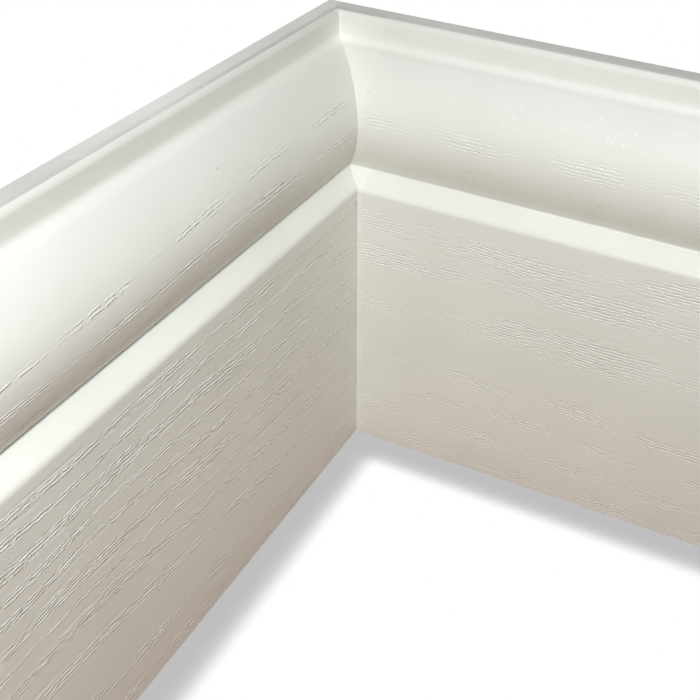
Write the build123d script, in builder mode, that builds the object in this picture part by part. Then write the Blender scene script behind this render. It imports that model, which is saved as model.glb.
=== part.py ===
"""Internal corner of torus skirting: a board that runs through to the wall, a board that butts
up to it, and the moulded trim that is scribed over the first board and closes the corner.

The two wall faces meet the floor at the origin. The through board runs along -Y with its back on
x = 0, the butting board along +X with its back on y = 0, and +Z is up. Millimetres.
"""
import os
from math import radians, sqrt, tan

from build123d import *

# Boards
board_height = 150.0
board_thickness = 20.0
left_leg = 300.0
right_leg = 300.0

# Moulded section, from the top edge downwards and from the wall face outwards
lip_depth = 6.4
lip_height = 8.5
lip_edge_radius = 2.2
cove_radius = 2.6
ledge_width = 3.4
ledge_fall = 1.1
torus_top_radius = 4.0
torus_height = 36.1
torus_foot_inset = 6.2
crease_radius = 0.3
shoulder_angle = 37.0
nose_radius = 2.4

# Corner trim
trim_width = 1.8
scribe_gap = 0.1

# Levels of the section's breaks
lip_foot_z = board_height - lip_height
torus_top_z = lip_foot_z - ledge_fall
torus_foot_z = torus_top_z - torus_height
shoulder_foot_z = torus_foot_z - torus_foot_inset * tan(radians(shoulder_angle))

# Depths of the same breaks, measured out from the wall
torus_top_depth = lip_depth + ledge_width
torus_foot_depth = board_thickness - torus_foot_inset

# The butting board stops short of the through board's face by the width of the trim
trim_end = board_thickness + trim_width


def torus_belly_drop():
    """Drop from the torus top to where an arc through both its ends just touches the front face."""
    top_inset = board_thickness - torus_top_depth
    foot_inset = torus_foot_inset
    spread = foot_inset - top_inset
    root = sqrt(top_inset * foot_inset * (torus_height**2 + spread**2))
    return top_inset * (torus_height**2 + foot_inset * spread) / (top_inset * torus_height + root)


def skirting_section(plane):
    """Board section on a plane whose X points out from the wall and whose Y points up."""
    wall_top = (0, board_height)
    lip_top = (lip_depth, board_height)
    lip_foot = (lip_depth, lip_foot_z)
    torus_top = (torus_top_depth, torus_top_z)
    torus_belly = (board_thickness, torus_top_z - torus_belly_drop())
    torus_foot = (torus_foot_depth, torus_foot_z)
    shoulder_foot = (board_thickness, shoulder_foot_z)
    front_foot = (board_thickness, 0)
    wall_foot = (0, 0)
    rounded_corners = (
        (lip_top, lip_edge_radius),
        (lip_foot, cove_radius),
        (torus_top, torus_top_radius),
        (torus_foot, crease_radius),
        (shoulder_foot, nose_radius),
    )
    with BuildSketch(plane) as section:
        with BuildLine():
            Polyline(wall_top, lip_top, lip_foot, torus_top)
            ThreePointArc(torus_top, torus_belly, torus_foot)
            Polyline(torus_foot, shoulder_foot, front_foot, wall_foot, wall_top)
        make_face()
        for corner, radius in rounded_corners:
            fillet(section.vertices().sort_by_distance(corner)[0], radius=radius)
    return section.sketch


def butting_plane(distance):
    """Plane across the butting board, seen from its free end, at a distance from the left wall."""
    return Plane(origin=(distance, 0, 0), x_dir=(0, -1, 0), z_dir=(-1, 0, 0))


through_section = skirting_section(Plane.XZ)
butting_section = skirting_section(butting_plane(right_leg))
trim_section = skirting_section(butting_plane(trim_end))
scribe_section = skirting_section(Plane(origin=(scribe_gap, 0, 0), x_dir=(1, 0, 0), z_dir=(0, -1, 0)))

# Through board: square end against the wall, full length of the left leg
with BuildPart() as left_board:
    extrude(through_section, amount=left_leg)

# Butting board: square end against the trim
with BuildPart() as right_board:
    extrude(butting_section, amount=right_leg - trim_end)

# Corner trim: carries the butting board's section on and is scribed to the through board's face
with BuildPart() as corner_trim:
    extrude(trim_section, amount=trim_end - scribe_gap)
    extrude(scribe_section, amount=board_thickness, mode=Mode.SUBTRACT)

left_board.part.label = "left_board"
right_board.part.label = "right_board"
corner_trim.part.label = "corner_trim"

os.makedirs("parts", exist_ok=True)
export_step(left_board.part, "parts/left_board.step")
export_step(right_board.part, "parts/right_board.step")
export_step(corner_trim.part, "parts/corner_trim.step")
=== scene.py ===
# %% [markdown]
# # A skirting internal corner
#
# Two lengths of white plastic torus skirting meet in a corner, and a smooth moulded trim closes the
# joint between them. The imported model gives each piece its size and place. This notebook adds what
# the eye sees: the woodgrain pressed into the boards, the sawn ends, the plain backs, and the light.

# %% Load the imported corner
from math import atan2, cos, pi, radians, sin, sqrt, tan

import bpy
import numpy as np
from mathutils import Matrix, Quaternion, Vector


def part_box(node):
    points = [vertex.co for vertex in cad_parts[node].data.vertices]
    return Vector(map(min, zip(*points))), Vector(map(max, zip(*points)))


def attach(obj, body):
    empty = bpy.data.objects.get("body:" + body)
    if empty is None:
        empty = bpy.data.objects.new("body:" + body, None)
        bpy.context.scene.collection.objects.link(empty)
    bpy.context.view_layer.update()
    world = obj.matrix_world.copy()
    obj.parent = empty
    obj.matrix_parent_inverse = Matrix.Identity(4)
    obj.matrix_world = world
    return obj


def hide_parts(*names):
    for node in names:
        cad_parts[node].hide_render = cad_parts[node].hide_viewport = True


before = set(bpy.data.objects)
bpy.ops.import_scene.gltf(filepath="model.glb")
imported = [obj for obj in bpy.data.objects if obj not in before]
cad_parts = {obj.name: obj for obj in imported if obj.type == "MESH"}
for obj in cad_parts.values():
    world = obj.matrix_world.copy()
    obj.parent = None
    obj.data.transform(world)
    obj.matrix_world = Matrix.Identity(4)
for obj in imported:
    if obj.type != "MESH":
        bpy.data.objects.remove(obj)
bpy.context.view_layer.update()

MM = 0.001

# %% [markdown]
# ## The camera
#
# The picture was taken from inside the room, above the corner, with a little roll. Straight edges of
# the boards fix where the lens stood, and the point where its axis meets the picture lies off the
# middle, because the picture was cropped. A camera's shift moves the frame in the same way, so no
# edge has to be bent to fit. Everything is worked out for a square picture.

# %% Camera at the picture's viewpoint
IMAGE_SIDE = 700
FOCAL_PIXELS = 1068.8
AXIS_PIXEL = (427.8, 367.5)
SENSOR_MM = 36.0
EYE = Vector((160.4, -289.0, 258.0)) * MM
LOOK = Vector((-0.30937, 0.73720, -0.60069))
ROLL = radians(3.136)
NEAREST_SEEN = 10 * MM


def put_in_scene(name, data):
    """A new object in the scene, made from a mesh, a lamp or a lens."""
    thing = bpy.data.objects.new(name, data)
    bpy.context.scene.collection.objects.link(thing)
    return thing


def make_camera():
    lens = bpy.data.cameras.new("viewpoint")
    lens.sensor_width = SENSOR_MM
    lens.lens = FOCAL_PIXELS * SENSOR_MM / IMAGE_SIDE
    lens.shift_x = (IMAGE_SIDE / 2 - AXIS_PIXEL[0]) / IMAGE_SIDE
    lens.shift_y = (AXIS_PIXEL[1] - IMAGE_SIDE / 2) / IMAGE_SIDE
    lens.clip_start = NEAREST_SEEN
    camera = put_in_scene("viewpoint", lens)
    camera.rotation_mode = "QUATERNION"
    camera.location = EYE
    camera.rotation_quaternion = LOOK.to_track_quat("-Z", "Y") @ Quaternion((0, 0, 1), ROLL)
    bpy.context.scene.camera = camera
    return lens


lens = make_camera()
bpy.context.scene.view_settings.view_transform = "Standard"
print("lens, mm:", round(lens.lens, 2), "shift:", round(lens.shift_x, 4), round(lens.shift_y, 4))

# %% [markdown]
# ## Shader maths as expressions
#
# Node trees are easier to read as formulas. `Wire` wraps one output socket, and an operator between
# wires or numbers adds a Math node. Each operator is made with its reflected form, so that `1 - wire`
# works as well as `wire - 1`.

# %% Wires


def operator(operation):
    """A Math operation as two methods: with the wire on the left, and with it on the right."""

    def forward(wire, other):
        return wire.finish.math(operation, wire, other)

    def reflected(wire, other):
        return wire.finish.math(operation, other, wire)

    return forward, reflected


class Wire:
    """An output socket that can be used in a formula."""

    __add__, __radd__ = operator("ADD")
    __sub__, __rsub__ = operator("SUBTRACT")
    __mul__, __rmul__ = operator("MULTIPLY")
    __truediv__, __rtruediv__ = operator("DIVIDE")
    __pow__, __rpow__ = operator("POWER")
    __gt__, __lt__ = operator("GREATER_THAN")

    def __init__(self, finish, socket):
        self.finish = finish
        self.socket = socket

    def __abs__(self):
        return self.finish.math("ABSOLUTE", self)

    def floor(self):
        return self.finish.math("FLOOR", self)

    def above(self, low, high):
        """0 below low, 1 above high, with a soft step between."""
        limits = {"Value": self, "From Min": low, "From Max": high}
        return self.finish.add("ShaderNodeMapRange", {"interpolation_type": "SMOOTHSTEP"}, limits)


print("operators on a wire: + - * / ** >")

# %% [markdown]
# ## Finishes
#
# `Finish` owns one material's node tree. Its `add` method makes any node: the settings go in first,
# because some of them change which sockets there are. The other methods only shorten calls of `add`
# for the nodes that nearly every finish here needs.

# %% Finishes
SATIN_GLOSS = {"IOR": 1.46, "Specular IOR Level": 0.3}


class Finish:
    """A material, or the sky, and the nodes that make it."""

    def __init__(self, name, library=bpy.data.materials):
        self.owner = library.new(name)
        self.owner.use_nodes = True
        self.tree = self.owner.node_tree
        self.tree.nodes.clear()

    def add(self, kind, settings=None, sockets=None, out=0):
        """Any node, by its type, its settings and the values or wires of its sockets."""
        node = self.tree.nodes.new(kind)
        for name, value in (settings or {}).items():
            setattr(node, name, value)
        for name, value in (sockets or {}).items():
            if isinstance(value, Wire):
                self.tree.links.new(value.socket, node.inputs[name])
            else:
                node.inputs[name].default_value = value
        return Wire(self, node.outputs[out]) if node.outputs else None

    def math(self, operation, *values):
        return self.add("ShaderNodeMath", {"operation": operation}, dict(enumerate(values)))

    def place(self):
        return self.add("ShaderNodeTexCoord", out="Object")

    def attribute(self, name, out):
        return self.add("ShaderNodeAttribute", {"attribute_name": name}, out=out)

    def axis(self, vector, name):
        return self.add("ShaderNodeSeparateXYZ", None, {0: vector}, out=name)

    def vector(self, *parts):
        return self.add("ShaderNodeCombineXYZ", None, dict(enumerate(parts)))

    def noise(self, vector, scale, detail, dimensions="3D", **more):
        sockets = {"Vector": vector, "Scale": scale, "Detail": detail, **more}
        return self.add("ShaderNodeTexNoise", {"noise_dimensions": dimensions}, sockets)

    def dots(self, vector, scale):
        """Distance to the nearest of many scattered points."""
        return self.add("ShaderNodeTexVoronoi", None, {"Vector": vector, "Scale": scale}, out="Distance")

    def mix_color(self, share, first, second):
        return self.add("ShaderNodeMix", {"data_type": "RGBA"}, {0: share, 6: first, 7: second}, out=2)

    def mix_shader(self, share, first, second):
        return self.add("ShaderNodeMixShader", None, {0: share, 1: first, 2: second})

    def bump(self, strength, depth, height):
        sockets = {"Strength": strength, "Distance": depth, "Height": height}
        return self.add("ShaderNodeBump", None, sockets)

    def plastic(self, color, roughness, normal, gloss=None):
        sockets = {"Base Color": color, "Roughness": roughness, "Normal": normal, **(gloss or {})}
        return self.add("ShaderNodeBsdfPrincipled", None, sockets)

    def show(self, surface, output="ShaderNodeOutputMaterial"):
        self.add(output, None, {"Surface": surface})
        return self.owner


print("materials so far:", len(bpy.data.materials))

# %% [markdown]
# ## The ground
#
# The corner stands on a plain white ground with a soft shadow along the foot of the boards. A lamp
# could cast that shadow, but it would change the light on the boards too. An Ambient Occlusion node
# measures how much of the sky a board hides near by, and that alone darkens the white. For light
# that bounces off it, the ground is a warm sheet, which gives the foot of each panel its cream tint.

# %% Ground
GROUND_SIDE = 6.0
GROUND_DROP = 0.1 * MM
GROUND_BOUNCE = (0.30, 0.125, 0.03, 1.0)
SHADOW_REACH = 15 * MM
SHADOW_SAMPLES = 8
SHADOW_DARKEST = 0.83
SHADOW_FALL = 1.2
SHADOW_DEPTH = 0.48


def plain_view(finish):
    """1 for rays that should find plain white: from the camera, off a glossy face or through a clear one."""
    kinds = ("Is Camera Ray", "Is Glossy Ray", "Is Transmission Ray")
    camera_ray, glossy_ray, clear_ray = [finish.add("ShaderNodeLightPath", out=kind) for kind in kinds]
    return camera_ray + glossy_ray + clear_ray


def ground_finish():
    ground = Finish("white_ground")
    open_sky = ground.add("ShaderNodeAmbientOcclusion", {"samples": SHADOW_SAMPLES},
                          {"Distance": SHADOW_REACH}, out="AO")
    clear = ground.add("ShaderNodeMapRange", None,
                       {"Value": open_sky, "From Min": SHADOW_DARKEST, "From Max": 1.0})
    shade = 1 - (1 - clear ** SHADOW_FALL) * SHADOW_DEPTH
    seen = ground.add("ShaderNodeEmission", None, {"Color": shade, "Strength": 1.0})
    bounced = ground.add("ShaderNodeBsdfDiffuse", None, {"Color": GROUND_BOUNCE})
    return ground.show(ground.mix_shader(plain_view(ground), bounced, seen))


def make_ground():
    mesh = bpy.data.meshes.new("ground")
    half = GROUND_SIDE / 2
    corners = [(x * half, y * half, -GROUND_DROP) for x, y in ((-1, -1), (1, -1), (1, 1), (-1, 1))]
    mesh.from_pydata(corners, [], [(0, 1, 2, 3)])
    ground = put_in_scene("ground", mesh)
    ground.data.materials.append(ground_finish())
    return ground


ground = make_ground()
print("ground, m:", [round(side, 2) for side in ground.dimensions[:2]])

# %% [markdown]
# ## Sky and lamps
#
# One small cool lamp near the viewpoint draws the bright lines on the torus and brings out the
# grain. A broad warm lamp overhead lifts the ledges and the shoulder, and one behind keeps the backs
# readable. A picture of a room could light the corner instead, but three lamps are easier to aim.
# The sky is white to the eye and gives almost no light.

# %% Sky and lamps
SKY_STRENGTH = 0.02
SKY_COLOR = (0.50, 1.0, 0.9, 1.0)
WHITE = (1.0, 1.0, 1.0, 1.0)


def make_sky():
    sky = Finish("sky", bpy.data.worlds)
    white = sky.add("ShaderNodeBackground", None, {"Color": WHITE, "Strength": 1.0})
    soft = sky.add("ShaderNodeBackground", None, {"Color": SKY_COLOR, "Strength": SKY_STRENGTH})
    mixed = sky.mix_shader(plain_view(sky), soft, white)
    bpy.context.scene.world = sky.show(mixed, "ShaderNodeOutputWorld")


def make_lamp(name, place, aim, side, power, color):
    """A round lamp, turned to a point: places in metres, power in watts."""
    light = bpy.data.lights.new(name, "AREA")
    light.shape = "DISK"
    light.size = side
    light.energy = power
    light.color = color
    lamp = put_in_scene(name, light)
    lamp.location = place
    lamp.rotation_mode = "QUATERNION"
    lamp.rotation_quaternion = (Vector(aim) - Vector(place)).to_track_quat("-Z", "Y")
    lamp.visible_camera = False


make_sky()
make_lamp("key", place=(0.18, -0.36, 0.38), aim=(0.04, -0.09, 0.08), side=0.05, power=1.62,
          color=(0.945, 0.985, 1.0))
make_lamp("overhead", place=(0.51, -0.51, 1.44), aim=(0.05, -0.09, 0.08), side=0.70, power=3.9,
          color=(1.0, 0.87, 0.76))
make_lamp("rear_fill", place=(-0.95, 0.95, 0.30), aim=(0.05, -0.05, 0.08), side=0.70, power=16.0,
          color=(1.0, 0.98, 0.94))
print("lamps, W:", {light.name: round(light.energy, 2) for light in bpy.data.lights})

# %% [markdown]
# ## The skirting's section
#
# Both boards are cut from one extruded profile: a lip at the top, a cove, a ledge that falls a
# little, a full round torus, a tight crease, a sloping shoulder and a long flat panel. A loft or an
# extrusion would draw it, but the woodgrain needs control of every point, so the section is walked
# here as one line with its outward normal. Sizes are in millimetres: depth from the wall, and height.

# %% Sizes of the section
board_low, board_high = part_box("left_board")
BOARD_THICKNESS = board_high[0] / MM
BOARD_HEIGHT = board_high[2] / MM
BOARD_LENGTH = -board_low[1] / MM
LIP_DEPTH = 6.4
LIP_HEIGHT = 8.5
LIP_EDGE_RADIUS = 2.2
COVE_RADIUS = 2.6
LEDGE_WIDTH = 3.4
LEDGE_FALL = 1.1
TORUS_TOP_RADIUS = 4.0
TORUS_HEIGHT = 36.1
TORUS_FOOT_INSET = 6.2
CREASE_RADIUS = 0.3
SHOULDER_ANGLE = radians(37)
NOSE_RADIUS = 2.4
print("board, mm:", [round(x, 1) for x in (BOARD_LENGTH, BOARD_THICKNESS, BOARD_HEIGHT)])

# %% [markdown]
# ## The torus and the rounds beside it
#
# The torus is the big bead of the moulding, one arc that passes through the end of the ledge and
# through the crease and just touches the plane of the panel. The rounds at its ends are arcs too,
# and each has its centre where it touches the torus and its neighbour. Working the centres out keeps
# the section smooth, where a bevel on a mesh would only come near it.

# %% Arcs of the section
ARC_STEP = 0.05


def arc(center, radius, start, end):
    """Points of an arc, each as depth, height and the outward normal."""
    count = max(4, int(abs(end - start) * radius / ARC_STEP))
    side = 1 if end < start else -1
    angles = np.linspace(start, end, count)
    turn = np.stack([np.cos(angles), np.sin(angles)], 1)
    return np.hstack([np.array(center) + radius * turn, side * turn])


def torus_circle(ledge_height):
    """Centre and radius of the torus: through both its ends, and just touching the panel's plane."""
    set_back = BOARD_THICKNESS - LIP_DEPTH - LEDGE_WIDTH
    foot = TORUS_FOOT_INSET
    height = TORUS_HEIGHT
    root = sqrt(set_back * foot * (height ** 2 + (foot - set_back) ** 2))
    drop = set_back * (height ** 2 + foot * (foot - set_back)) / (set_back * height + root)
    radius = (drop ** 2 + set_back ** 2) / (2 * set_back)
    return np.array([BOARD_THICKNESS - radius, ledge_height - drop]), radius


def slope_axes(angle):
    """Directions down a slope that falls outward by an angle, and square to it, upward."""
    return np.array([cos(angle), -sin(angle)]), np.array([sin(angle), cos(angle)])


def slide_out(point, direction, center, distance):
    """Move a point along a direction until it lies at a distance from a centre."""
    offset = point - center
    along = offset @ direction
    return point + (sqrt(along ** 2 - offset @ offset + distance ** 2) - along) * direction


def bearing(point, center):
    return atan2(point[1] - center[1], point[0] - center[0])


print("torus radius, mm:", round(torus_circle(0)[1], 2))

# %% [markdown]
# ## One line from the wall to the floor
#
# The stretches are joined in order, from the top of the back to the floor. Straight stretches need no
# points of their own, because they run between the ends of their neighbours. Then any length along
# the line gives a depth, a height and a normal.

# %% Walk along the section


def section_stretches():
    """Arcs and corners of the section, from the top of the back down to the floor."""
    lip_foot = BOARD_HEIGHT - LIP_HEIGHT
    ledge = lip_foot - LEDGE_FALL
    middle, radius = torus_circle(ledge)
    edge_center = (LIP_DEPTH - LIP_EDGE_RADIUS, BOARD_HEIGHT - LIP_EDGE_RADIUS)
    edge = arc(edge_center, LIP_EDGE_RADIUS, pi / 2, 0)

    fall = atan2(LEDGE_FALL, LEDGE_WIDTH)
    cove_height = lip_foot + COVE_RADIUS * (1 - sin(fall)) / cos(fall)
    cove = arc((LIP_DEPTH + COVE_RADIUS, cove_height), COVE_RADIUS, pi, 1.5 * pi - fall)

    outward, upward = slope_axes(fall)
    below_ledge = np.array([LIP_DEPTH + LEDGE_WIDTH, ledge]) - TORUS_TOP_RADIUS * upward
    brow_center = slide_out(below_ledge, outward, middle, radius - TORUS_TOP_RADIUS)
    torus_start = bearing(brow_center, middle)
    brow = arc(brow_center, TORUS_TOP_RADIUS, pi / 2 - fall, torus_start)

    outward, upward = slope_axes(SHOULDER_ANGLE)
    foot = np.array([BOARD_THICKNESS - TORUS_FOOT_INSET, ledge - TORUS_HEIGHT])
    valley = slide_out(foot + CREASE_RADIUS * upward, outward, middle, radius + CREASE_RADIUS)
    torus_end = bearing(valley, middle)
    torus = arc(middle, radius, torus_start, torus_end)
    crease = arc(valley, CREASE_RADIUS, pi + torus_end, 1.5 * pi - SHOULDER_ANGLE)

    nose_height = foot[1] - TORUS_FOOT_INSET * tan(SHOULDER_ANGLE)
    half_turn = (pi / 2 - SHOULDER_ANGLE) / 2
    nose_center = (BOARD_THICKNESS - NOSE_RADIUS, nose_height - NOSE_RADIUS * tan(half_turn))
    nose = arc(nose_center, NOSE_RADIUS, pi / 2 - SHOULDER_ANGLE, 0)
    back_edge = np.array([[0, BOARD_HEIGHT, 0, 1]])
    floor_edge = np.array([[BOARD_THICKNESS, 0, 1, 0]])
    return {"top": back_edge, "edge": edge, "cove": cove, "brow": brow, "torus": torus,
            "crease": crease, "nose": nose, "panel": floor_edge}


stretches = section_stretches()
section = np.vstack(list(stretches.values()))
walk = np.concatenate([[0], np.cumsum(np.hypot(*np.diff(section[:, :2], axis=0).T))])
counts = np.cumsum([0] + [len(points) for points in stretches.values()])
begins = dict(zip(stretches, walk[counts[:-1]]))
stops = dict(zip(stretches, walk[counts[1:] - 1]))


def at_length(lengths):
    """Depth, height and normal at lengths along the section."""
    return np.stack([np.interp(lengths, walk, section[:, k]) for k in range(4)], -1)


print("section length, mm:", round(float(walk[-1]), 2))
print("stretches end at, mm:", {name: round(float(length), 1) for name, length in stops.items()})

# %% [markdown]
# ## How the woodgrain runs
#
# The boards carry a pressed woodgrain: long thin pores gathered in bands, as the growth rings of ash
# lie in a sawn plank. The mesh lines follow the rings, so that a pore lies along the rows of faces
# and stays sharp at a modest face count. `ring_lift` says how far the rings swell up or down at each
# place. It fades out at the top and foot of a stretch, where the rows have to be straight.

# %% Rings that swell along the board
FADE_HEIGHT = 9.0
BELLY_SCALE = 27 / 4
WAVER_RISE = 0.5
WAVER_SPAN = 83.0
WAVER_LEAN = 0.07
RIPPLE_RISE = 0.22
RIPPLE_SPAN = 41.0
RIPPLE_LEAN = 0.13


def ring_lift(along, height, full_height, swell):
    """How far the ring lines rise, in mm, at a place on a face of the board."""
    share = np.clip(height / full_height, 0, 1)
    belly = BELLY_SCALE * share ** swell["low"] * (1 - share) ** swell["high"]
    long_wave = swell["lift"] * belly * np.sin(2 * pi * (along - swell["shift"]) / swell["span"])
    waver = WAVER_RISE * np.sin(2 * pi * along / WAVER_SPAN + WAVER_LEAN * height + swell["shift"])
    ripple = RIPPLE_RISE * np.sin(2 * pi * along / RIPPLE_SPAN + RIPPLE_LEAN * height)
    fade = np.clip(np.minimum(height, full_height - height) / FADE_HEIGHT, 0, 1)
    return long_wave + swell["waver"] * (waver + ripple) * fade * fade * (3 - 2 * fade)


def ring_swell(lift, shift, span, low, high, waver):
    """A swell: lift, where it passes zero, span, lean to the foot or the top, share of waver."""
    return {"lift": lift, "shift": shift, "span": span, "low": low, "high": high, "waver": waver}


STILL = ring_swell(0.0, 0, 300, 1, 1, 0.0)
LEFT_SWELLS = {"panel": ring_swell(5.5, 112, 265, 1, 2, 1.0),
               "torus": ring_swell(-3.0, 112, 265, 2, 1, 0.4), "lip": STILL}
RIGHT_SWELLS = {"panel": ring_swell(-2.2, 80, 330, 1, 2, 1.0),
                "torus": ring_swell(-0.6, 80, 330, 2, 1, 0.3), "lip": STILL}
lifts = [ring_lift(along, 45, 97, LEFT_SWELLS["panel"]) for along in (25, 100, 180)]
print("swell at 45 mm up the left panel, mm:", [round(float(lift), 1) for lift in lifts])

# %% [markdown]
# ## Rings and their pores
#
# Each ring holds pores in parallel lanes. In the middle of a ring a lane is mostly pore, and away
# from it the pores thin out. One board has long pores in narrow rings, as in quarter-sawn wood, and
# the other short pores in broad ones. Noise in a shader could draw such marks, but grooves in the
# mesh catch the light on their lower lip and fall dark on the upper one, as the pressed skin does.

# %% Where the pores lie
LANE_SPREAD = 1.3
BLEED = 12.0
PORE_LENGTH_SPREAD = 0.55
PORE_STRAY = 0.06
PORE_DEPTHS = (0.6, 1.0)
PORE_HALF_WIDTHS = (0.50, 0.60)
PORE_STEPS = (0.8, 1.15)


def ring(height, half, pore, fill, depth=0.13, drift=0.3, stray=90):
    """A ring: height of its middle, half thickness, pore length, share of pore, depth, how far it
    drifts and over what length. All but the share are in mm."""
    return {"height": height, "half": half, "pore": pore, "fill": fill, "depth": depth,
            "drift": drift, "stray": stray}


def pore_share(one, along, height):
    """Share of pore at a place: the ring drifts, swells and thins along the board."""
    turn = 2 * pi * along / one["stray"]
    off = height - one["height"] - one["drift"] * np.sin(turn + one["height"])
    half = one["half"] * (1 + 0.25 * np.sin(1.7 * turn + 2 * one["height"]))
    strength = 0.86 + 0.22 * np.sin(2.6 * turn + 3 * one["height"])
    return np.minimum(one["fill"] * strength, 1) * np.exp(-(off / half) ** 4)


def scatter_pores(rng, one, length, lane_pitch, carved, foot):
    """Pores of one ring: start, length, height, depth and half width, in mm."""
    pores = []
    reach = LANE_SPREAD * one["half"] + one["drift"]
    middle = foot - one["height"]
    lanes = np.arange(np.floor((middle - reach) / lane_pitch), np.ceil((middle + reach) / lane_pitch))
    for lane in lanes:
        height = foot - (lane + 0.5) * lane_pitch
        along = -BLEED - rng.random() * one["pore"]
        while along < length + BLEED:
            pore = one["pore"] * np.exp(rng.normal(0, PORE_LENGTH_SPREAD))
            if rng.random() < carved * pore_share(one, along + pore / 2, height):
                depth = one["depth"] * rng.uniform(*PORE_DEPTHS)
                at = height + rng.normal(0, PORE_STRAY)
                pores.append((along, pore, at, depth, rng.uniform(*PORE_HALF_WIDTHS)))
            along += pore * rng.uniform(*PORE_STEPS)
    return pores


trial = scatter_pores(np.random.default_rng(0), ring(10, 2, 10, 1.0), 100, 1.0, 1.0, 20)
print("pores of a trial ring on 100 mm:", len(trial))

# %% [markdown]
# ## The rings of each board
#
# The rings are listed from the top of each stretch down. The left board's are narrow and full,
# the right board's are broad and shallow, and on the torus and the lip both fade to a few fine pores.
# Only a share of a ring's pores is carved into the mesh. The finish draws the rest.

# %% Rings of each board
LEFT_PANEL_RINGS = [ring(93.8, 1.6, 10, 1.0), ring(87.8, 1.5, 12, 1.1), ring(80.0, 2.6, 12, 1.15),
                    ring(72.2, 1.5, 12, 1.1), ring(65.5, 1.9, 12, 1.15), ring(57.0, 2.6, 12, 1.15),
                    ring(49.5, 1.2, 10, 1.05), ring(42.0, 2.6, 12, 1.15), ring(30.5, 2.6, 10, 1.1),
                    ring(13.0, 2.8, 5, 0.75, 0.10), ring(3.5, 1.8, 5, 0.75, 0.10)]
RIGHT_PANEL_RINGS = [ring(90.0, 5.0, 5, 0.90, 0.07, 2.0, 150), ring(79.0, 4.5, 5, 0.95, 0.07, 2.0, 170),
                     ring(61.0, 6.5, 5, 0.95, 0.07, 2.5, 210), ring(38.5, 3.2, 5, 0.95, 0.07, 1.0),
                     ring(27.0, 2.6, 5, 0.95, 0.07, 1.0), ring(15.5, 3.0, 5, 0.95, 0.07, 1.0),
                     ring(4.0, 2.8, 5, 0.90, 0.07)]
LEFT_TORUS_RINGS = [ring(23.7, 1.3, 12, 0.68, 0.06), ring(15.3, 1.9, 12, 0.72, 0.08),
                    ring(7.6, 0.8, 12, 0.72, 0.08)]
RIGHT_TORUS_RINGS = [ring(20.0, 3.4, 5, 0.72, 0.05), ring(9.5, 2.2, 5, 0.66, 0.05),
                     ring(3.0, 1.2, 4, 0.4, 0.04)]
LIP_RINGS = [ring(2.8, 1.1, 6, 0.30, 0.03, 0.2)]
LEFT_GRAIN = {"lane_pitch": 1.12, "carved": 0.9, "seed": 11, "swells": LEFT_SWELLS,
              "rings": {"panel": LEFT_PANEL_RINGS, "torus": LEFT_TORUS_RINGS, "lip": LIP_RINGS}}
RIGHT_GRAIN = {"lane_pitch": 1.05, "carved": 0.3, "seed": 12, "swells": RIGHT_SWELLS,
               "rings": {"panel": RIGHT_PANEL_RINGS, "torus": RIGHT_TORUS_RINGS, "lip": LIP_RINGS}}
print("rings on the panels:", len(LEFT_PANEL_RINGS), "and", len(RIGHT_PANEL_RINGS))

# %% [markdown]
# ## A pressed pore
#
# On the real skirting a heated roller presses the grain into the soft skin, and each pore is a short
# groove with tapered ends. A Displace modifier with a texture could do it, but it would need a far
# finer mesh. Here every groove is written into a grid of depths, with a gentle wall above and a
# steeper lip below.

# %% Press the pores into a relief
LIP_WALL = 0.5
UPPER_WALL = 1.0
PRESS_REACH = 0.8
END_TAPER = 6
SHALLOWEST_END = 0.2
PORE_BEND = 0.07
PORE_BEND_SPAN = 17.0


def press_pores(relief, columns, heights, pores):
    """Press each pore into the relief, where it is deeper than what is there."""
    for start, length, place, depth, width in pores:
        first, last = np.searchsorted(columns, (start, start + length))
        low, high = np.searchsorted(heights, (place - PRESS_REACH, place + PRESS_REACH))
        if last <= first or high <= low:
            continue
        share = (columns[first:last] - start) / length
        taper = np.clip(np.minimum(share, 1 - share) * END_TAPER, SHALLOWEST_END, 1)
        line = place + PORE_BEND * np.sin(2 * pi * columns[first:last] / PORE_BEND_SPAN + place * 5)
        up = (heights[low:high, None] - line) / width
        groove = np.clip(np.minimum(1 + up / LIP_WALL, 1 - up / UPPER_WALL), 0, 1) * depth * taper
        window = relief[low:high, first:last]
        np.maximum(window, groove, out=window)


test_heights = np.arange(0, 4, 0.16)
test_relief = np.zeros((len(test_heights), 40))
press_pores(test_relief, np.arange(40.0), test_heights, [(5, 20, 2.0, 0.13, 0.5)])
print("one pore, deepest, mm:", round(float(test_relief.max()), 3))

# %% [markdown]
# ## Rows of faces
#
# A board's front is a grid. Columns are cut squarely across it, and rows run along its length: close
# together in the rings, where pores are pressed, and wider between them and on the plain stretches.
# Even rows would be simpler, but the grain would then cost several times as many faces.

# %% Rows along the section
PLAIN_PITCH = {"top": 0.8, "edge": 0.4, "lip": 0.6, "cove": 0.35, "brow": 0.45, "crease": 0.3,
               "shoulder": 0.7, "nose": 0.4}
STRETCH_ENDS = [("top", 0.0, begins["edge"]), ("edge", begins["edge"], stops["edge"]),
                ("lip", stops["edge"], begins["cove"]), ("cove", begins["cove"], stops["cove"]),
                ("brow", stops["cove"], stops["brow"]), ("torus", stops["brow"], begins["crease"]),
                ("crease", begins["crease"], stops["crease"]), ("shoulder", stops["crease"], begins["nose"]),
                ("nose", begins["nose"], stops["nose"]), ("panel", stops["nose"], stops["panel"])]
LEFT_PITCH = {"column": 1.60, "fine": 0.235, "coarse": 0.9}
RIGHT_PITCH = {"column": 1.42, "fine": 0.28, "coarse": 0.6}
COUNT_STEP = 0.02
RING_MARGIN = 0.35


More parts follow.
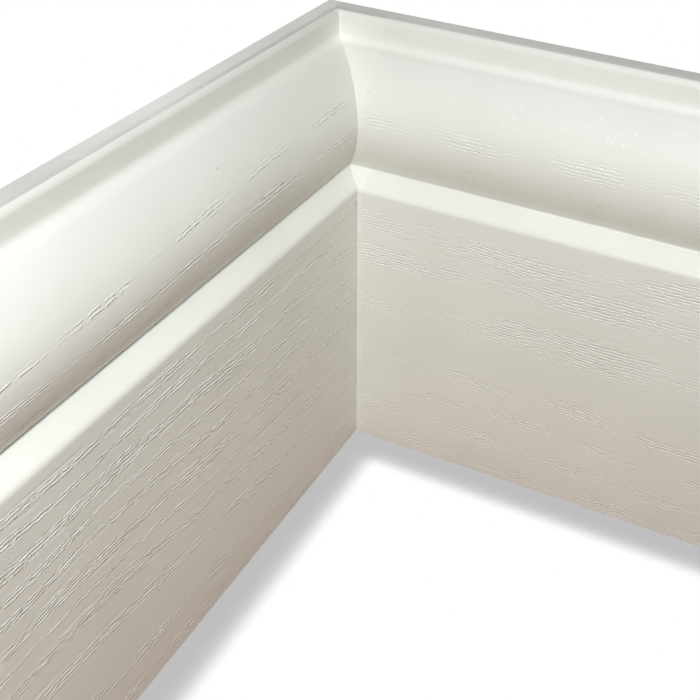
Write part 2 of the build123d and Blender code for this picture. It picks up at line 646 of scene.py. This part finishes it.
def ring_rows(full_height, rings, pitch):
    """Heights of rows, top to foot, close together where a ring can reach."""
    heights = np.arange(0, full_height, COUNT_STEP)
    near = np.zeros(len(heights), dtype=bool)
    for one in rings:
        reach = LANE_SPREAD * one["half"] + one["drift"] + RING_MARGIN
        near |= np.abs(heights - one["height"]) < reach
    steps = np.where(near, COUNT_STEP / pitch["fine"], COUNT_STEP / pitch["coarse"])
    count = np.concatenate([[0], np.cumsum(steps)])
    wanted = np.linspace(0, count[-1], round(count[-1]) + 1)
    return np.interp(wanted, count, np.append(heights, full_height))[::-1]


def board_rows(rings, pitch):
    """Row places along the section, and the first and last row of each stretch."""
    rows = np.zeros(1)
    spans = {}
    for name, start, end in STRETCH_ENDS:
        if name in rings:
            new = end - ring_rows(end - start, rings[name], pitch)[1:]
        else:
            new = np.linspace(start, end, max(2, round((end - start) / PLAIN_PITCH[name]) + 1))[1:]
        spans[name] = (len(rows) - 1, len(rows) - 1 + len(new))
        rows = np.append(rows, new)
    return rows, spans


print("rows of the left board:", len(board_rows(LEFT_GRAIN["rings"], LEFT_PITCH)[0]))
print("rows of the right board:", len(board_rows(RIGHT_GRAIN["rings"], RIGHT_PITCH)[0]))

# %% [markdown]
# ## A map of the surface
#
# Baking lays pictures on a mesh, and for that the whole surface has to lie flat without overlaps.
# An automatic unwrap works, but a board is so plain that strips do better: the front, the foot, the
# back and the two ends lie side by side, all at one scale.

# %% Strip map
STRIP_GAP = 3.0
STRIP_MARGIN = 1.0


def keep_strip_map(mesh, columns, rows, outline):
    """Lay the surface out flat in strips: front, foot, back and the two ends."""
    foot_low = rows[-1] + STRIP_GAP
    foot_high = foot_low + BOARD_THICKNESS
    back_low = foot_high + STRIP_GAP
    back_high = back_low + BOARD_HEIGHT
    ends_low = back_high + STRIP_GAP
    lows = np.append(rows[:-1], [foot_low, back_low])[:, None]
    highs = np.append(rows[1:], [foot_high, back_high])[:, None]
    left = (columns[:-1] - columns[0])[None, :] + 0 * lows
    right = (columns[1:] - columns[0])[None, :] + 0 * lows
    lows = lows + 0 * left
    highs = highs + 0 * left
    flat = np.stack([left, lows, left, highs, right, highs, right, lows], -1).reshape(-1, 2)
    first, last = [np.vstack([outline[:, column], [[0, 0]]]) for column in (0, -1)]
    first = np.stack([first[::-1, 1], ends_low + first[::-1, 0]], -1)
    last = np.stack([last[:, 1] + BOARD_HEIGHT + STRIP_GAP, ends_low + last[:, 0]], -1)
    span = columns[-1] - columns[0]
    side = max(ends_low + BOARD_THICKNESS + STRIP_GAP, span + 2 * STRIP_GAP) + 2 * STRIP_MARGIN
    layer = mesh.uv_layers.new(name="OFBake")
    values = (np.vstack([flat, first, last]) + STRIP_MARGIN) / side
    layer.data.foreach_set("uv", values.astype(np.float32).reshape(-1))


print("strips, mm:", [round(x, 1) for x in (float(walk[-1]), BOARD_THICKNESS, BOARD_HEIGHT)])

# %% [markdown]
# ## A closed board
#
# Each board is one closed mesh, because a real one is one solid length. A back, a foot and two sawn
# ends close the shaped front. Each point keeps its place in the grain, the depth of pore and the
# share of pore as attributes, because the finish draws finer pores by them. Only the outer part of
# the rounded top edge keeps its skin, so the rest goes to the finish of the top.

# %% Close a board
SKIN, TOP, BACK, SAWN = range(4)
EDGE_WEAR = 0.35
SHARP_EDGE = radians(65)


def keep_attribute(mesh, name, kind, field, values):
    attribute = mesh.attributes.new(name, kind, "POINT")
    attribute.data.foreach_set(field, np.asarray(values, dtype=np.float32).reshape(-1))


def face_finishes(rows, spans, columns):
    """Which finish each face takes: grid rows from the top of the back down, then the two ends."""
    finishes = np.full((len(rows) + 1, len(columns) - 1), SKIN)
    edge_start, edge_end = spans["edge"]
    finishes[:edge_start + round(EDGE_WEAR * (edge_end - edge_start))] = TOP
    finishes[len(rows) - 1:] = BACK
    return np.append(finishes, [SAWN, SAWN]).astype(np.int32)


def skin_mesh(name, columns, rows, spans, outline, relief, share, place):
    """Close the shaped front with a back, a foot and two sawn ends."""
    closing = np.zeros((1, len(columns)))
    depth = np.vstack([outline[..., 0], closing])
    height = np.vstack([outline[..., 1], closing])
    along = np.repeat(columns[None, :], len(rows) + 1, 0)
    across = np.append(rows, rows[-1])[:, None] + 0 * along
    index = np.arange(along.size).reshape(along.shape)
    loop = np.vstack([index, index[:1]])
    quads = np.stack([loop[:-1, :-1], loop[1:, :-1], loop[1:, 1:], loop[:-1, 1:]], -1).reshape(-1, 4)
    ends = [index[::-1, 0].tolist(), index[:, -1].tolist()]
    points = place(along, depth, height).reshape(-1, 3) * MM
    mesh = bpy.data.meshes.new(name)
    mesh.from_pydata(points.tolist(), [], quads.tolist() + ends)
    mesh.polygons.foreach_set("material_index", face_finishes(rows, spans, columns))
    keep_attribute(mesh, "pore", "FLOAT", "value", np.vstack([relief, closing]))
    keep_attribute(mesh, "share", "FLOAT", "value", np.vstack([share, closing]))
    keep_attribute(mesh, "grain", "FLOAT_VECTOR", "vector", np.stack([along, across, 0 * along], -1))
    keep_strip_map(mesh, columns, rows, outline)
    mesh.validate()
    mesh.shade_smooth()
    mesh.set_sharp_from_angle(angle=SHARP_EDGE)
    return put_in_scene(name, mesh)


print("finishes of a board:", {"skin": SKIN, "top": TOP, "back": BACK, "sawn": SAWN})

# %% [markdown]
# ## Both boards
#
# The left board runs through to the wall, and the right one stops at the trim. Rows are moved along
# the section by the swell of the rings, and points are moved inward along their normals by the depth
# of pore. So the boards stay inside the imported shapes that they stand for.

# %% Make both boards


def grain_board(name, reach, pitch, grain, place):
    """A board as a closed mesh, with pores pressed in and their measures kept as attributes."""
    rng = np.random.default_rng(grain["seed"])
    rows, spans = board_rows(grain["rings"], pitch)
    columns = np.linspace(*reach, int((reach[1] - reach[0]) / pitch["column"]) + 1)
    lengths = np.repeat(rows[:, None], len(columns), 1)
    relief = np.zeros_like(lengths)
    share = np.zeros_like(lengths)
    for stretch, rings in grain["rings"].items():
        part = slice(spans[stretch][0], spans[stretch][1] + 1)
        foot = rows[part][-1]
        heights = foot - rows[part]
        lengths[part] -= ring_lift(columns[None, :], heights[:, None], heights[0], grain["swells"][stretch])
        pressed = np.zeros((len(heights), len(columns)))
        for one in rings:
            pores = scatter_pores(rng, one, reach[1], grain["lane_pitch"], grain["carved"], foot)
            press_pores(pressed, columns, heights[::-1], pores)
            here = pore_share(one, columns[None, :], heights[:, None])
            share[part] = np.maximum(share[part], here)
        relief[part] = pressed[::-1]
    walked = at_length(lengths)
    outline = walked[..., :2] - relief[..., None] * walked[..., 2:]
    return skin_mesh(name, columns, rows, spans, outline, relief, share, place)


def place_left(along, depth, height):
    return np.stack([depth, -along, height], -1)


def place_right(along, depth, height):
    return np.stack([along, -depth, height], -1)


right_low, right_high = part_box("right_board")
right_reach = (right_low[0] / MM, right_high[0] / MM)
left_board = grain_board("left_board_skin", (0.0, BOARD_LENGTH), LEFT_PITCH, LEFT_GRAIN, place_left)
right_board = grain_board("right_board_skin", right_reach, RIGHT_PITCH, RIGHT_GRAIN, place_right)
for board, node in ((left_board, "left_board"), (right_board, "right_board")):
    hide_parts(node)
    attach(board, "root")
    print(board.name, "triangles:", sum(len(p.vertices) - 2 for p in board.data.polygons))

# %% [markdown]
# ## Fine pores
#
# Beside the pressed grooves the skin has finer pores, too small for the mesh, and they come from the
# finish. They keep to the same lanes as the grooves: each lane is cut into cells, and one random
# number for each cell is held against the share of pore. A plain stretched noise would be quicker,
# but it gives scratches with no beginning or end.

# %% Fine pores
PORE_SWAY = 0.14
PORE_WANDER = 0.8
LANE_SHIFT = 31
LIP_SOFTNESS = 0.16
LEAST_OPEN = 0.2


def cell_noise(finish, *parts):
    """A steady random number for each cell."""
    vector = finish.vector(*parts)
    return finish.add("ShaderNodeTexWhiteNoise", {"noise_dimensions": "3D"}, {"Vector": vector})


def fine_pores(finish, share, pores, lane_pitch):
    """Depth of the fine pores and a mask of their lower lips for a painted highlight, 0 to 1, in the board's
    lanes.
    """
    seed = pores["seed"]
    grain = finish.attribute("grain", "Vector")
    along = finish.axis(grain, "X")
    lanes = finish.axis(grain, "Y") / lane_pitch
    lane = lanes.floor()
    cells = along / pores["length"] + cell_noise(finish, lane, seed, 0.5) * LANE_SHIFT
    cell = cells.floor()
    chance = cell_noise(finish, lane, cell, seed)
    sway = cell_noise(finish, lane, cell, seed + 7) - 0.5
    wander = finish.noise(finish.vector(along * 0.30, lane * 5.7 + seed), 1.0, 3.0, "2D") - 0.5
    off = lanes - lane - 0.5 - sway * PORE_SWAY - wander * PORE_WANDER
    upper, lower = pores["walls"]
    deepest = (upper - lower) / 2
    edge = deepest + lower
    groove = off.above(deepest - upper, deepest) * (1 - off.above(deepest, edge))
    lip = off.above(deepest, deepest + lower / 3) * (1 - off.above(edge, edge + LIP_SOFTNESS))
    taper = 1 - abs(cells - cell - 0.5).above(0.36, 0.5)
    breaks = finish.noise(finish.vector(along * 0.45, lane * 7.3 + seed), 1.0, 2.0, "2D")
    unbroken = LEAST_OPEN + (1 - LEAST_OPEN) * breaks.above(0.36, 0.50)
    here = (share * pores["full"] > chance) * taper * unbroken * share.above(0.2, 1.0)
    return groove * here, lip * here


LEFT_PORES = {"full": 1.4, "length": 11.0, "walls": (0.50, 0.24), "press": 0.33, "lip_highlight": 1.0, "seed": 3.0}
RIGHT_PORES = {"full": 1.3, "length": 4.0, "walls": (0.32, 0.32), "press": 0.14, "lip_highlight": 0.65, "seed": 4.0}
print("fine pores, mm long:", LEFT_PORES["length"], "and", RIGHT_PORES["length"])

# %% [markdown]
# ## The embossed skin
#
# The skin is white plastic with a satin sheen. A few pimples, a faint peel, painted shade in the pores
# and, on the right torus, clusters of small raised specks, coloured near white as painted glints,
# break up the plain white. The lower lips of the fine pores carry a painted highlight. All of it is
# bump and colour on one material for each board, because none of it is deep enough to change an outline.

# %% The skin's finish
SKIN_LIGHT = (0.82, 0.83, 0.785, 1.0)
SKIN_SHADE = (0.79, 0.797, 0.75, 1.0)
# painted shade: the colour that the pores are darkened towards, by their depth
PORE_PAINTED_SHADE = (0.70, 0.69, 0.64, 1.0)
# painted highlight: the colour of the lower pore lips and of the specks' glints
LIP_PAINTED_HIGHLIGHT = (0.98, 0.985, 0.95, 1.0)
PIMPLES_PER_METRE = 75.0
SPECKS_PER_METRE = 420.0
SPECK_FADE = 2 * MM
RIGHT_SPECKS = (0.131, 0.137)
NO_SPECKS = (-0.2, -0.1)


def specks(finish, place, band):
    """Small raised specks in clusters, in a band of heights, which the finish also paints near white as
    glints.
    """
    cluster = finish.noise(place, 55.0, 1.0)
    dots = finish.dots(place, SPECKS_PER_METRE)
    height = finish.axis(place, "Z")
    low, high = band
    inside = height.above(low - SPECK_FADE, low) * (1 - height.above(high, high + SPECK_FADE))
    return (1 - dots.above(0.09, 0.21)) * cluster.above(0.44, 0.52) * inside


def embossed_skin(name, pores, lane_pitch, speck_band):
    skin = Finish(name)
    share = skin.attribute("share", "Fac")
    depth = skin.attribute("pore", "Fac")
    place = skin.place()
    fine, lip = fine_pores(skin, share, pores, lane_pitch)
    cloud = skin.noise(place, 28.0, 3.0)
    peel = skin.noise(place, 1100.0, 2.0)
    pimple = 1 - skin.dots(place, PIMPLES_PER_METRE).above(0.006, 0.03)
    # the specks are raised in the bump and also painted near white as glints
    speck_glint = specks(skin, place, speck_band)
    white = skin.mix_color(cloud.above(0.3, 0.7), SKIN_SHADE, SKIN_LIGHT)
    # painted shade: the colour is darkened in the pores, more where they are deeper
    pore_shaded = skin.mix_color(depth * 0.4, white, PORE_PAINTED_SHADE)
    # painted highlight on the lower pore lips, and painted glints on the specks
    color = skin.mix_color(lip * pores["lip_highlight"] + speck_glint, pore_shaded, LIP_PAINTED_HIGHLIGHT)
    bump = skin.bump(1.0, pores["press"] * MM, pimple * 0.6 + speck_glint * 0.7 + peel * 0.05 - fine)
    roughness = 0.40 + cloud * 0.08 + fine * 0.12
    return skin.show(skin.plastic(color, roughness, bump, SATIN_GLOSS))


left_skin = embossed_skin("embossed_skin_left", LEFT_PORES, LEFT_GRAIN["lane_pitch"], NO_SPECKS)
right_skin = embossed_skin("embossed_skin_right", RIGHT_PORES, RIGHT_GRAIN["lane_pitch"], RIGHT_SPECKS)
print("skins:", left_skin.name, right_skin.name)

# %% [markdown]
# ## Top edge, back and sawn ends
#
# The skin stops at the lip, and the top edge behind it is duller and greyer, with scuffs from
# handling. The back is bare extruded plastic with faint die lines along it. The ends are sawn, so
# the closed-cell core shows: fine pits with the arcs of a circular blade across them. Noise, dots
# and ring waves give all three without a picture.

# %% Plain faces of a board
TOP_SHADE = (0.53, 0.54, 0.51, 1)
TOP_SCUFF = (0.78, 0.785, 0.75, 1)
# painted sheen: the left top is given a lighter grey than the right top
LEFT_TOP_LIGHT = (0.68, 0.69, 0.66, 1)
RIGHT_TOP_LIGHT = (0.63, 0.64, 0.61, 1)
BACK_SHADE = (0.76, 0.76, 0.715, 1)
BACK_LIGHT = (0.81, 0.81, 0.765, 1)
CORE_LIGHT = (0.80, 0.80, 0.76, 1)
CORE_PIT_SHADE = (0.62, 0.62, 0.58, 1)
BLADE_CENTER = (0.1, -0.1, -0.05)


def dull_top(name, light):
    top = Finish(name)
    place = top.place()
    scuff = top.noise(place, 160.0, 5.0, Roughness=0.65)
    tone = top.mix_color(top.noise(place, 14.0, 2.0).above(0.35, 0.65), TOP_SHADE, light)
    color = top.mix_color(scuff.above(0.55, 0.75) * 0.5, tone, TOP_SCUFF)
    bump = top.bump(0.6, 0.05 * MM, scuff)
    return top.show(top.plastic(color, 0.55 + scuff * 0.2, bump))


def plain_back():
    back = Finish("plain_extruded_back")
    place = back.place()
    along = back.axis(back.attribute("grain", "Vector"), "X")
    height = back.axis(place, "Z")
    lines = back.noise(back.vector(along * 0.004, height * 420), 1.0, 3.0, "2D")
    cloud = back.noise(place, 22.0, 4.0)
    color = back.mix_color(cloud.above(0.35, 0.65), BACK_SHADE, BACK_LIGHT)
    bump = back.bump(0.7, 0.05 * MM, lines)
    return back.show(back.plastic(color, 0.42 + lines * 0.2, bump))


def sawn_end():
    end = Finish("sawn_end")
    place = end.place()
    pits = 1 - end.dots(place, 1900.0).above(0.1, 0.45)
    from_blade = end.add("ShaderNodeVectorMath", {"operation": "SUBTRACT"}, {0: place, 1: BLADE_CENTER})
    saw = end.add("ShaderNodeTexWave", {"wave_type": "RINGS", "rings_direction": "SPHERICAL"},
                  {"Vector": from_blade, "Scale": 110.0, "Distortion": 1.5, "Detail": 2.0})
    # painted shade: the colour darkens in the pits of the core
    color = end.mix_color(pits * 0.6 + saw * 0.15, CORE_LIGHT, CORE_PIT_SHADE)
    bump = end.bump(0.8, 0.08 * MM, saw * 0.35 - pits)
    return end.show(end.plastic(color, 0.62 + pits * 0.15, bump))


left_top = dull_top("dull_top_left", LEFT_TOP_LIGHT)
right_top = dull_top("dull_top_right", RIGHT_TOP_LIGHT)
for board, skin, top in ((left_board, left_skin, left_top), (right_board, right_skin, right_top)):
    for made in (skin, top, plain_back(), sawn_end()):
        board.data.materials.append(made)
    print(board.name, [slot.name for slot in board.material_slots])

# %% [markdown]
# ## The corner trim
#
# The trim is a separate moulding with no woodgrain, a shade whiter than the boards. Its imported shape
# is already right, so it keeps it and only takes a finish: smooth satin plastic with a trace of flow
# from the mould. Its top is the same dull grey as the boards' tops, so that the edge reads as one.

# %% Finish the trim
TRIM_SHADE = (0.82, 0.825, 0.775, 1)
TRIM_LIGHT = (0.85, 0.855, 0.81, 1)
TRIM_TOP = (0.56, 0.57, 0.54, 1)


def trim_plastic():
    trim = Finish("smooth_trim_plastic")
    place = trim.place()
    flow = trim.noise(place, 60.0, 3.0, Distortion=0.6)
    peel = trim.noise(place, 900.0, 2.0)
    top = trim.axis(place, "Z").above((BOARD_HEIGHT - 0.5) * MM, (BOARD_HEIGHT - 0.25) * MM)
    white = trim.mix_color(flow.above(0.35, 0.65), TRIM_SHADE, TRIM_LIGHT)
    color = trim.mix_color(top, white, TRIM_TOP)
    bump = trim.bump(0.25, 0.03 * MM, peel)
    return trim.show(trim.plastic(color, 0.30 + flow * 0.1 + top * 0.25, bump, SATIN_GLOSS))


corner_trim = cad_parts["corner_trim"]
corner_trim.data.materials.clear()
corner_trim.data.materials.append(trim_plastic())
print("trim faces:", len(corner_trim.data.polygons))
